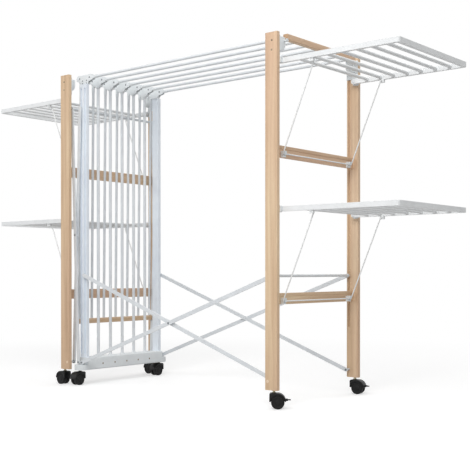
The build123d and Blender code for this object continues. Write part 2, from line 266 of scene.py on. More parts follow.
class Board(Tree):
    """A material's tree, with one Principled shader to feed."""

    def __init__(self, name: str, fixed: dict[str, Any]) -> None:
        """Starts a material.

        Args:
            name: The material's name.
            fixed: Values for the shader's own sockets.
        """
        self.material = bpy.data.materials.new(name)
        self.material.use_nodes = True
        super().__init__(self.material.node_tree)
        self.shader = self.node("ShaderNodeBsdfPrincipled", sockets=fixed)
        self.output = self.node("ShaderNodeOutputMaterial", sockets={"Surface": self.shader.outputs[0]})

    def place(
        self, scale: Point = (1.0, 1.0, 1.0), offset: Point = (0.0, 0.0, 0.0)
    ) -> bpy.types.NodeSocket:
        """Object coordinates for a pattern.

        Args:
            scale: What they are multiplied by on each axis.
            offset: What is then added to them.

        Returns:
            The socket to feed to a pattern's Vector.
        """
        where = self.node("ShaderNodeTexCoord").outputs["Object"]
        sockets = {"Vector": where, "Scale": scale, "Location": offset}
        return self.node("ShaderNodeMapping", sockets=sockets).outputs[0]

    def noise(self, where: bpy.types.NodeSocket, scale: float, detail: float, rough: float) -> Value:
        """Soft noise from 0 to 1 at a place."""
        sockets = {"Vector": where, "Scale": scale, "Detail": detail, "Roughness": rough}
        return Value(self, self.node("ShaderNodeTexNoise", sockets=sockets).outputs[0])

    def ramp(self, amount: Value, stops: Sequence[tuple[float, Colour]]) -> bpy.types.NodeSocket:
        """A colour looked up from a number."""
        return self.node("ShaderNodeValToRGB", {"stops": stops}, {"Fac": amount}).outputs[0]

    def blend(self, amount: Value, under: Any, over: Any) -> bpy.types.NodeSocket:
        """Mixes two colours by an amount."""
        return self.node("ShaderNodeMix", {"data_type": "RGBA"}, {0: amount, 6: under, 7: over}).outputs[2]

    def relief(self, height: Value, depth: float, strength: float) -> None:
        """Turns a height into the shader's normal."""
        sockets = {"Height": height, "Distance": depth, "Strength": strength}
        self.feed("Normal", self.node("ShaderNodeBump", sockets=sockets).outputs[0])

    def facing(self, grain: Grain) -> Value:
        """How squarely a face looks along the fibres, from 0 to 1."""
        normal = self.node("ShaderNodeNewGeometry").outputs["Normal"]
        return abs(Value(self, self.node("ShaderNodeSeparateXYZ", sockets={0: normal}).outputs[grain.value]))

    def feed(self, socket: str, source: Value | bpy.types.NodeSocket) -> None:
        """Links a pattern to one of the shader's sockets."""
        source = source.socket if isinstance(source, Value) else source
        self.graph.links.new(source, self.shader.inputs[socket])

    def show(self, shader: bpy.types.Node) -> None:
        """Makes another shader the one that the surface shows."""
        self.graph.links.new(shader.outputs[0], self.output.inputs["Surface"])


@dataclass(frozen=True)
class Figure:
    """A noise in the wood: its scales along and across the fibres, detail and roughness."""

    along: float
    across: float
    detail: float
    rough: float


@dataclass(frozen=True)
class Beech:
    """Clear-lacquered beech with soft streaks, short flecks and end grain."""

    name: str
    grain: Grain
    offset: float = 0.0  # shifts the figures, so that no two boards match
    light: Colour = linear(234, 209, 175)
    middle: Colour = linear(217, 186, 152)
    dark: Colour = linear(190, 158, 125)
    fleck: Colour = linear(166, 130, 98)
    rosy: Colour = linear(222, 184, 159)
    streaks: Figure = Figure(1.6, 46.0, 5.0, 0.62)
    sway: Figure = Figure(0.9, 9.0, 2.0, 0.5)
    blush: Figure = Figure(0.7, 5.0, 1.0, 0.5)
    flecks: Figure = Figure(55.0, 900.0, 2.0, 0.6)
    fibres: Figure = Figure(12.0, 1500.0, 2.0, 0.5)
    heart: Point = (0.04, 0.09, 0.03)  # added to the place before the rings are drawn
    ring_scale: float = 90.0

    def _drawn(self, board: Board, figure: Figure) -> Value:
        """Draws a figure out along the fibres.

        Args:
            board: The material that it goes into.
            figure: The noise.

        Returns:
            The noise, from 0 to 1.
        """
        where = board.place(
            self.grain.stretch(figure.along, figure.across),
            (self.offset, self.offset * 0.7, self.offset * 1.3),
        )
        return board.noise(where, 1.0, figure.detail, figure.rough)

    def _rings(self, board: Board) -> Value:
        """Year rings, for the end grain.

        Args:
            board: The material that they go into.

        Returns:
            The rings, from 0 to 1.
        """
        settings = {"wave_type": "RINGS", "rings_direction": "XYZ"[self.grain.value]}
        where = board.place(offset=self.heart)
        sockets = {"Vector": where, "Scale": self.ring_scale, "Distortion": 3.0, "Detail": 2.0}
        return Value(board, board.node("ShaderNodeTexWave", settings, sockets).outputs["Fac"])

    def material(self) -> bpy.types.Material:
        """Builds the wood's nodes.

        Returns:
            The material.
        """
        board = Board(self.name, {"IOR": 1.46})
        streaks, flecks = self._drawn(board, self.streaks), self._drawn(board, self.flecks)
        tone = 0.62 * streaks + 0.38 * self._drawn(board, self.sway)
        colour = board.ramp(tone, [(0.34, self.dark), (0.5, self.middle), (0.64, self.light)])
        colour = board.blend(self._drawn(board, self.blush).above(0.45, 2.4), colour, self.rosy)
        colour = board.blend(flecks.above(0.62, 3.2), colour, self.fleck)
        ends = board.facing(self.grain) ** 8.0
        end_colour = board.ramp(self._rings(board), [(0.2, self.fleck), (0.8, self.dark)])
        board.feed("Base Color", board.blend(ends * 0.8, colour, end_colour))
        board.feed("Roughness", 0.42 + streaks * 0.16 + ends * 0.15)
        fibres = self._drawn(board, self.fibres)
        board.relief(fibres * 0.5 + flecks * 0.3 + streaks * 0.4, 0.0003, 0.45)
        return board.material


@dataclass(frozen=True)
class Coating:
    """A smooth plastic or lacquer with faint mottling and a fine skin."""

    name: str
    colour: Colour
    shade: Colour
    rough: float = 0.4
    skin: float = 900.0  # scale of the skin's grain
    depth: float = 0.00006  # of its relief
    coat: float = 0.0
    gloss: float = 0.5

    def material(self) -> bpy.types.Material:
        """Builds the coating's nodes.

        Returns:
            The material.
        """
        board = Board(
            self.name,
            {"IOR": 1.47, "Specular IOR Level": self.gloss, "Coat Weight": self.coat, "Coat Roughness": 0.2},
        )
        mottle = board.noise(board.place(), 22.0, 3.0, 0.55)
        drift = board.noise(board.place(), 4.5, 2.0, 0.5)
        skin = board.noise(board.place(), self.skin, 2.0, 0.5)
        tone = 0.5 * mottle + 0.5 * drift
        board.feed("Base Color", board.ramp(tone, [(0.32, self.shade), (0.58, self.colour)]))
        board.feed("Roughness", self.rough + 0.1 * (mottle - 0.5) + 0.06 * skin)
        board.relief(skin + 0.6 * mottle, self.depth, 0.5)
        return board.material


@dataclass(frozen=True)
class TurnedMetal:
    """Bare metal with fine turning marks and darker stains."""

    name: str
    colour: Colour
    shade: Colour
    rough: float

    def material(self) -> bpy.types.Material:
        """Builds the metal's nodes.

        Returns:
            The material.
        """
        board = Board(self.name, {"Metallic": 1.0})
        marks = board.noise(board.place((1.0, 1.0, 6.0)), 700.0, 3.0, 0.6)
        stain = board.noise(board.place(), 60.0, 3.0, 0.6)
        board.feed("Base Color", board.ramp(stain, [(0.35, self.shade), (0.6, self.colour)]))
        board.feed("Roughness", self.rough + 0.18 * marks)
        board.relief(marks, 0.00004, 0.6)
        return board.material


@dataclass(frozen=True)
class WheelTread:
    """Dull black rubber with scuffs and patches of floor dust."""

    name: str
    colour: Colour = linear(6, 6, 7)
    dust: Colour = linear(30, 29, 28)

    def material(self) -> bpy.types.Material:
        """Builds the rubber's nodes.

        Returns:
            The material.
        """
        board = Board(self.name, {"IOR": 1.5, "Specular IOR Level": 0.3})
        scuffs = board.noise(board.place(), 160.0, 4.0, 0.65)
        patches = board.noise(board.place(), 45.0, 3.0, 0.5)
        worn = (scuffs * patches).above(0.24, 3.0)
        board.feed("Base Color", board.blend(worn, self.colour, self.dust))
        board.feed("Roughness", 0.5 + 0.3 * scuffs)
        board.relief(scuffs, 0.00015, 0.5)
        return board.material


class Finishes:
    """The rack's materials."""

    def __init__(self) -> None:
        """Makes the shared finishes; boards of wood are made on demand."""
        self.enamel = Coating(
            "white_enamel", linear(228, 232, 235), linear(217, 221, 225),
            rough=0.33, skin=700.0, depth=0.00005, coat=0.15,
        ).material()
        self.wire = Coating(
            "white_wire", linear(244, 245, 245), linear(236, 238, 238),
            rough=0.3, skin=700.0, depth=0.00004, coat=0.2,
        ).material()
        self.slat = Coating(
            "white_slats", linear(240, 242, 243), linear(230, 232, 233), rough=0.42
        ).material()
        self.lacquer = Coating(
            "white_lacquer", linear(238, 245, 252), linear(228, 235, 244), rough=0.42, skin=450.0
        ).material()
        self.plastic = Coating(
            "white_plastic", linear(234, 238, 240), linear(222, 227, 229), rough=0.48, skin=1100.0
        ).material()
        self.black = Coating(
            "black_plastic", linear(8, 8, 9), linear(3, 3, 4),
            rough=0.38, skin=1300.0, depth=0.00008, gloss=0.3,
        ).material()
        self.cap = Coating(
            "rivet_grey", linear(132, 137, 141), linear(112, 117, 121), rough=0.45
        ).material()
        # The bolt plugs' beech is far paler than the boards: it gives their end grain and also paints a
        # highlight on each plug.
        self.dowel = Beech(
            "dowel_end", Grain.ALONG_Y, 3.1, light=linear(252, 236, 216), middle=linear(248, 228, 204),
            dark=linear(240, 216, 188), fleck=linear(226, 198, 168), rosy=linear(248, 226, 206),
        ).material()
        self.bronze = TurnedMetal(
            "stem_bronze", linear(182, 176, 152), linear(132, 125, 102), rough=0.4
        ).material()
        self.zinc = TurnedMetal(
            "screw_zinc", linear(166, 152, 132), linear(116, 102, 84), rough=0.35
        ).material()
        self.tread = WheelTread("wheel_tread").material()
        self._boards = 0

    def wood(self, grain: Grain) -> bpy.types.Material:
        """A new board of beech, cut from another place in the tree."""
        self._boards += 1
        return Beech(f"beech_{self._boards}", grain, 0.73 * self._boards).material()


def turned(profile: Sequence[Flat], steps: int = 24) -> bpy.types.Mesh:
    """Spins a profile about Z into a closed turned shape.

    Args:
        profile: (radius, height) points, from the bottom to the top or round a ring's section.
        steps: Segments round the turn.

    Returns:
        A mesh in its own place, axis on Z.
    """
    bm = bmesh.new()
    corners = [bm.verts.new((radius, 0.0, height)) for radius, height in profile]
    edges = [bm.edges.new(pair) for pair in zip(corners, corners[1:])]
    bmesh.ops.spin(
        bm, geom=corners + edges, cent=(0, 0, 0), axis=(0, 0, 1), dvec=(0, 0, 0),
        angle=2 * math.pi, steps=steps, use_merge=True, use_duplicate=False,
    )
    bmesh.ops.remove_doubles(bm, verts=bm.verts, dist=1e-6)
    bmesh.ops.recalc_face_normals(bm, faces=bm.faces)
    return _to_mesh(bm)


def rod(radius: float, half: float, steps: int = 16) -> bpy.types.Mesh:
    """A plain pin on Z that reaches half its length each way."""
    return turned([(0, -half), (radius, -half), (radius, half), (0, half)], steps)


def block(size: Point, bevel: float) -> bpy.types.Mesh:
    """A box about the origin with rounded edges.

    Args:
        size: Its length along each axis.
        bevel: The edges' radius.

    Returns:
        The mesh.
    """
    bm = bmesh.new()
    bmesh.ops.create_cube(bm, size=1.0)
    bmesh.ops.scale(bm, vec=size, verts=bm.verts)
    bmesh.ops.bevel(
        bm, geom=bm.edges[:], offset=bevel, segments=2, profile=0.5, affect="EDGES", material=-1
    )
    return _to_mesh(bm)


def slab(outline: Sequence[Flat], thickness: float, bevel: float) -> bpy.types.Mesh:
    """A flat outline given a thickness along Y, with rounded edges.

    Args:
        outline: (x, z) corners in order round it.
        thickness: Its width along Y, half each way.
        bevel: The radius of the edges round its two faces.

    Returns:
        The mesh.
    """
    bm = bmesh.new()
    face = bm.faces.new([bm.verts.new((x, -thickness / 2, z)) for x, z in outline])
    made = bmesh.ops.extrude_face_region(bm, geom=[face])
    raised = [item for item in made["geom"] if isinstance(item, bmesh.types.BMVert)]
    bmesh.ops.translate(bm, vec=(0, thickness, 0), verts=raised)
    bmesh.ops.recalc_face_normals(bm, faces=bm.faces)
    rim = [edge for edge in bm.edges if abs(edge.verts[0].co.y - edge.verts[1].co.y) < 1e-6]
    bmesh.ops.bevel(bm, geom=rim, offset=bevel, segments=3, profile=0.5, affect="EDGES", material=-1)
    return _to_mesh(bm)


def arc(centre: Flat, radius: float, start: float, end: float, steps: int) -> list[Flat]:
    """Points along an arc in a plane.

    Args:
        centre: The arc's centre.
        radius: Its radius.
        start: The angle of its first point, in degrees.
        end: The angle of its last point, in degrees.
        steps: Segments along it.

    Returns:
        The points, one more than the segments.
    """
    angles = [math.radians(start + (end - start) * step / steps) for step in range(steps + 1)]
    return [(centre[0] + radius * math.cos(angle), centre[1] + radius * math.sin(angle)) for angle in angles]


def _to_mesh(bm: bmesh.types.BMesh) -> bpy.types.Mesh:
    """Ends a bmesh.

    Args:
        bm: The bmesh, which is freed.

    Returns:
        The same shape as a mesh.
    """
    mesh = bpy.data.meshes.new("blank")
    bm.to_mesh(mesh)
    bm.free()
    return mesh


def aim(direction: Sequence[float]) -> Matrix:
    """The turn that takes +Z to a direction."""
    return Vector((0, 0, 1)).rotation_difference(Vector(direction)).to_matrix().to_4x4()


def stand(at: Sequence[float], direction: Sequence[float] = (0, 0, 1)) -> Matrix:
    """A placing: +Z aimed along a direction, origin at a point."""
    return Matrix.Translation(at) @ aim(direction)


def lodge(side: Side, row: Row, at: Point) -> Matrix:
    """A placing in an end frame: outward from its inner edge, in from its outer face, up."""
    return Matrix.Translation((side.x(at[0]), row.y(at[1]), at[2]))


def screw_head(spot: Point, direction: Point, radius: float) -> Shape:
    """A domed screw head with a driver socket.

    Args:
        spot: Where the head meets the surface.
        direction: The way it faces.
        radius: The head's radius.

    Returns:
        The head and its place.
    """
    profile = [
        (0, -0.0003), (radius, -0.0003), (radius, 0.0004), (radius * 0.8, 0.0010), (radius * 0.45, 0.0013),
        (radius * 0.32, 0.0004), (0, 0.0002),
    ]
    return turned(profile), stand(spot, direction)


@dataclass
class Fitter:
    """Joins small shapes into pieces and hangs them on the rack's bodies."""

    finishes: Finishes
    nodes: dict[str, bpy.types.Object]
    smooth_below: float = 32.0  # edges that turn by more than these degrees stay sharp

    def fit(
        self,
        name: str,
        body: str,
        material: bpy.types.Material,
        slot: str,
        shapes: Iterable[Shape],
        stands_for: Sequence[str] = (),
    ) -> None:
        """Makes one piece from placed shapes, at the origin with its place in its mesh.

        Args:
            name: The piece's name.
            body: The body it rides on.
            material: Its finish.
            slot: The record's slot for that finish; not used.
            shapes: Meshes, each with its place.
            stands_for: Nodes of the frame that it replaces.
        """
        bm = bmesh.new()
        for mesh, place in shapes:
            done = len(bm.verts)
            bm.from_mesh(mesh)
            bm.verts.ensure_lookup_table()
            bmesh.ops.transform(bm, matrix=place, verts=bm.verts[done:])
        mesh = _to_mesh(bm)
        mesh.materials.append(material)
        for polygon in mesh.polygons:
            polygon.use_smooth = True
        mesh.set_sharp_from_angle(angle=math.radians(self.smooth_below))
        piece = bpy.data.objects.new(name, mesh)
        bpy.context.scene.collection.objects.link(piece)
        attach(piece, body)
        if stands_for:
            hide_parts(*stands_for)
        log.info("fitted %s on %s: %d faces", name, body, len(mesh.polygons))

    def dress(self, name: str, material: bpy.types.Material) -> None:
        """Gives a node of the frame its finish.

        Args:
            name: The node's name.
            material: The finish.
        """
        node = self.nodes[name]
        if node.material_slots:
            for holder in node.material_slots:
                holder.material = material
        else:
            node.data.materials.append(material)
        log.info("dressed %s with %s", name, material.name)


@dataclass
class CentreFrame:
    """The white middle frame: foot beam, slotted uprights, tubes and top heads."""

    fitter: Fitter
    beam_face: float = CENTRE_X + 0.034
    beam_top: float = 0.132
    foot_screw_z: float = 0.0985
    foot_screw_radius: float = 0.004
    head_bottom: float = 1.458
    head_half: float = 0.008  # half a head's thickness
    head_screws_x: Flat = (CENTRE_X - 0.014, CENTRE_X + 0.014)
    head_screws_z: Flat = (1.464, 1.477)
    head_screw_radius: float = 0.0032
    collar: Profile = (
        (0.0077, 0), (0.0115, 0), (0.0115, 0.002), (0.0100, 0.006), (0.0077, 0.0065), (0.0077, 0),
    )
    pivot_cap: Profile = ((0, -0.0002), (0.0042, -0.0002), (0.0042, 0.0006), (0.0034, 0.0012), (0, 0.0014))

    def build(self) -> None:
        """Dresses the frame's nodes and fits its small parts."""
        finishes = self.fitter.finishes
        self.fitter.dress("centre_beam", finishes.plastic)
        self.fitter.dress("top_connectors", finishes.plastic)
        self.fitter.dress("centre_tubes", finishes.enamel)
        for row in Row:
            self.fitter.dress(f"centre_upright_{row.word}", finishes.lacquer)
        self._foot_screws()
        self._collars()
        self._pivot_caps()
        self._head_screws()

    def _foot_screws(self) -> None:
        """Domed screws that hold the tubes in the foot beam."""
        shapes = []
        for tube in POST_TUBES:
            spot = (self.beam_face, tube * TUBE_PITCH, self.foot_screw_z)
            shapes.append(screw_head(spot, (1, 0, 0), self.foot_screw_radius))
        self.fitter.fit(
            "centre_foot_screws", "centre", self.fitter.finishes.zinc, "steel", shapes, ("centre_screws",)
        )

    def _collars(self) -> None:
        """Moulded rings where each tube enters the beam and its head."""
        collar, shapes = turned(self.collar), []
        for tube in POST_TUBES:
            shapes.append((collar, stand((CENTRE_X, tube * TUBE_PITCH, self.beam_top))))
            shapes.append((collar, stand((CENTRE_X, tube * TUBE_PITCH, self.head_bottom), DOWN)))
        self.fitter.fit(
            "centre_tube_collars", "centre", self.fitter.finishes.plastic, "white_plastic", shapes
        )

    def _pivot_caps(self) -> None:
        """Small grey covers over the grids' pivot pins."""
        cap, shapes = turned(self.pivot_cap), []
        for side in Side:
            x = CENTRE_X + side.value * GRID_PIVOT_X
            for head in GRID_TUBES:
                for face in (-1, 1):
                    y = head * TUBE_PITCH + face * self.head_half
                    shapes.append((cap, stand((x, y, GRID_PIVOT_Z), (0, face, 0))))
        self.fitter.fit("grid_pivot_caps", "centre", self.fitter.finishes.cap, "steel", shapes)

    def _head_screws(self) -> None:
        """Four small screws in the outer face of the first and the last head."""
        face = GRID_TUBES[-1] * TUBE_PITCH + self.head_half
        shapes = []
        for row in Row:
            for x in self.head_screws_x:
                for z in self.head_screws_z:
                    spot = (x, row.value * face, z)
                    shapes.append(screw_head(spot, (0, row.value, 0), self.head_screw_radius))
        self.fitter.fit("top_head_screws", "centre", self.fitter.finishes.cap, "steel", shapes)


@dataclass(frozen=True)
class Moulding:
    """A block with rounded edges: its size, their radius, and its place in an end frame."""

    size: Point
    edge: float
    at: Point

    def shape(self, side: Side, row: Row) -> Shape:
        """The block at one upright of one half."""
        return block(self.size, self.edge), lodge(side, row, self.at)


@dataclass(frozen=True)
class GridRest:
    """A moulded rest for one end of a grid's bar.

    Its places are distances outward from the end frame's inner edge, in from
    its outer face, and up from the floor.
    """

    plate: Moulding = Moulding((0.0587, 0.003, 0.083), 0.0012, (0.03035, 0.0209, 1.4505))
    shelf: Moulding = Moulding((0.030, 0.0175, 0.005), 0.0010, (0.059, 0.05275, 1.4735))
    lip: Moulding = Moulding((0.002, 0.014, 0.0055), 0.0006, (0.073, 0.051, 1.47825))
    bracket_at: Point = (0.039, 0.0194, 0.0)
    bracket_top: float = 1.488
    bracket_reach: float = 0.038
    bracket_width: float = 0.042
    bracket_edge: float = 0.0018
    bend_radius: float = 0.030
    bend_drop: float = 0.028  # from the bracket's top to the middle of its bend

    def bracket(self) -> bpy.types.Mesh:
        """A round-bottomed bracket, with the wall at x = 0.

        Returns:
            Its mesh.
        """
        top, reach, radius = self.bracket_top, self.bracket_reach, self.bend_radius
        bend = arc((reach - radius, top - self.bend_drop), radius, 0, -90, 10)
        outline = [(0, top), (reach, top), *bend, (0, bend[-1][1])]
        return slab(outline, self.bracket_width, self.bracket_edge)

    def shapes(self, side: Side, row: Row) -> list[Shape]:
        """The rest's wall plate, bracket, shelf and lip.

        Args:
            side: The half of the rack that it stands in.
            row: The upright that it is screwed to.

        Returns:
            The four shapes.
        """
        inward = Matrix.Rotation(math.radians(-90 * row.value), 4, "Z")
        return [
            self.plate.shape(side, row),
            (self.bracket(), lodge(side, row, self.bracket_at) @ inward),
            self.shelf.shape(side, row),
            self.lip.shape(side, row),
        ]


@dataclass
class EndFrame:
    """One beech end frame: uprights, rails, grid rests, hinge blocks and clips."""

    fitter: Fitter
    side: Side
    rest: GridRest = GridRest()
    screw_u: float = 0.0343
    screws_z: Flat = (1.433, 1.471)
    screw_radius: float = 0.0042
    hinge_u: float = 0.0523
    hinge_in: float = 0.0492  # just past the inner faces of the wings' side bars
    hinges_z: Flat = (1.3936, 0.7998)
    hinge_cap: Profile = ((0, 0), (0.0062, 0), (0.0062, 0.0012), (0.005, 0.0024), (0, 0.0028))
    plug: Profile = ((0, -0.0002), (0.0062, -0.0002), (0.0062, 0.0004), (0.0055, 0.0009), (0, 0.0011))

    def build(self) -> None:
        """Dresses the frame's nodes and fits its small parts."""
        word, finishes = self.side.word, self.fitter.finishes
        for row in Row:
            self.fitter.dress(f"{word}_upright_{row.word}", finishes.wood(Grain.ALONG_Z))
        self.fitter.dress(f"{word}_crossbars", finishes.wood(Grain.ALONG_Y))
        for part in ("wing_hinges", "stay_clips"):
            self.fitter.dress(f"{word}_{part}", finishes.plastic)
        self._rests()
        self._screws()
        self._hinge_caps()
        self._dowels()

    def _rests(self) -> None:
        """Moulded rests for the ends of a grid's bar."""
        word = self.side.word
        shapes = [shape for row in Row for shape in self.rest.shapes(self.side, row)]
        self.fitter.fit(
            f"{word}_grid_rests", f"{word}_frame", self.fitter.finishes.plastic, "white_plastic", shapes,
            (f"{word}_top_rests",),
        )

    def _screws(self) -> None:
        """Screws through the tops of the uprights into the grid rests."""
        word, x = self.side.word, self.side.x(self.screw_u)
        shapes = [
            screw_head((x, row.y(0), z), (0, row.value, 0), self.screw_radius)
            for row in Row for z in self.screws_z
        ]
        self.fitter.fit(
            f"{word}_rest_screws", f"{word}_frame", self.fitter.finishes.zinc, "steel", shapes,
            (f"{word}_frame_screws",),
        )

    def _hinge_caps(self) -> None:
        """Push-on caps that close the wings' hinge pins."""
        word, x = self.side.word, self.side.x(self.hinge_u)
        cap = turned(self.hinge_cap)
        shapes = [
            (cap, stand((x, row.y(self.hinge_in), z), (0, -row.value, 0)))
            for row in Row for z in self.hinges_z
        ]
        self.fitter.fit(
            f"{word}_hinge_caps", f"{word}_frame", self.fitter.finishes.plastic, "white_plastic", shapes
        )

    def _dowels(self) -> None:
        """Pale plugs over the brace bolts, low on the uprights' outer faces; their near-white beech also
        paints a highlight on each.
        """
        word, x = self.side.word, self.side.x(PIVOT_U)
        plug = turned(self.plug, steps=32)
        shapes = [(plug, stand((x, row.y(0), PIVOT_Z), (0, row.value, 0))) for row in Row]
        self.fitter.fit(f"{word}_bolt_plugs", f"{word}_frame", self.fitter.finishes.dowel, "wood", shapes)


@dataclass
class Scissor:
    """The crossing brace bars of one half, near and far, with their rivets."""

    fitter: Fitter
    side: Side
    b_face: float = 0.030  # the B bars' outer faces
    a_face: float = 0.047  # the A bars' inner faces
    washer_face: float = 0.0395
    rivet: Profile = (
        (0, -0.0002), (0.0052, -0.0002), (0.0052, 0.0006), (0.0038, 0.0021), (0.002, 0.0027), (0, 0.0029),
    )
    washer: Profile = (
        (0.0046, 0), (0.0080, 0), (0.0080, 0.0012), (0.0078, 0.0014), (0.0046, 0.0014), (0.0046, 0),
    )

    def build(self) -> None:
        """Dresses the bars and fits rivets and washers."""
        word, finishes = self.side.word, self.fitter.finishes
        for part in ("braces_a", "braces_b", "brace_rod"):
            self.fitter.dress(f"{word}_{part}", finishes.enamel)
        centre, frame = CENTRE_X + self.side.value * PIVOT_C, self.side.x(PIVOT_U)
        rise = math.sqrt(BRACE_LENGTH**2 - (frame - centre) ** 2)
        middle = ((centre + frame) / 2, PIVOT_Z + rise / 2)
        rivet, washer = turned(self.rivet), turned(self.washer)
        on_b, on_a = [], []
        for row in Row:
            out, back = (0, row.value, 0), (0, -row.value, 0)
            for x, z in ((centre, PIVOT_Z), (frame, PIVOT_Z + rise), middle):
                on_b.append((rivet, stand((x, row.y(self.b_face), z), out)))
            for x, z in ((frame, PIVOT_Z), (centre, PIVOT_Z + rise)):
                on_a.append((rivet, stand((x, row.y(self.a_face), z), back)))
            on_a.append((washer, stand((frame, row.y(self.washer_face), PIVOT_Z), out)))
        self.fitter.fit(f"{word}_rivets_b", f"{word}_braces_b", finishes.cap, "steel", on_b)
        self.fitter.fit(f"{word}_rivets_a", f"{word}_braces_a", finishes.cap, "steel", on_a)


@dataclass
class ClothesGrid:
    """Seven white tubes with plastic knuckles and a beech bar."""

    fitter: Fitter
    side: Side
    ferrule_at: float = 0.0325  # from the pivot, along a tube
    ferrule: Profile = (
        (0.0066, 0), (0.0078, 0.0008), (0.0080, 0.004), (0.0076, 0.020), (0.0066, 0.0208), (0.0066, 0),
    )

    def build(self) -> None:
        """Dresses the grid and fits a ferrule on each tube."""
        word, finishes = self.side.word, self.fitter.finishes
        self.fitter.dress(f"{word}_grid_tubes", finishes.enamel)
        self.fitter.dress(f"{word}_grid_knuckles", finishes.plastic)
        self.fitter.dress(f"{word}_grid_bar", finishes.wood(Grain.ALONG_Y))
        drop = math.radians(self.side.grid_drop)
        way = Vector((self.side.value * math.cos(drop), 0, -math.sin(drop)))
        start = Vector((CENTRE_X + self.side.value * GRID_PIVOT_X, 0, GRID_PIVOT_Z)) + way * self.ferrule_at
        ferrule = turned(self.ferrule)
        shapes = [(ferrule, stand(start + Vector(ACROSS) * (tube * TUBE_PITCH), way)) for tube in GRID_TUBES]
        self.fitter.fit(
            f"{word}_grid_ferrules", f"{word}_grid", finishes.plastic, "white_plastic", shapes
        )


@dataclass
class Wing:
    """A slatted wing that folds down, with the bent wire that props it."""

    fitter: Fitter
    side: Side
    level: str

    def build(self) -> None:
        """Dresses the wing and its stay."""
        stem, finishes = f"{self.side.word}_{self.level}", self.fitter.finishes
        self.fitter.dress(f"{stem}_wing_frame", finishes.slat)
        self.fitter.dress(f"{stem}_wing_slats", finishes.slat)
        self.fitter.dress(f"{stem}_stay", finishes.wire)


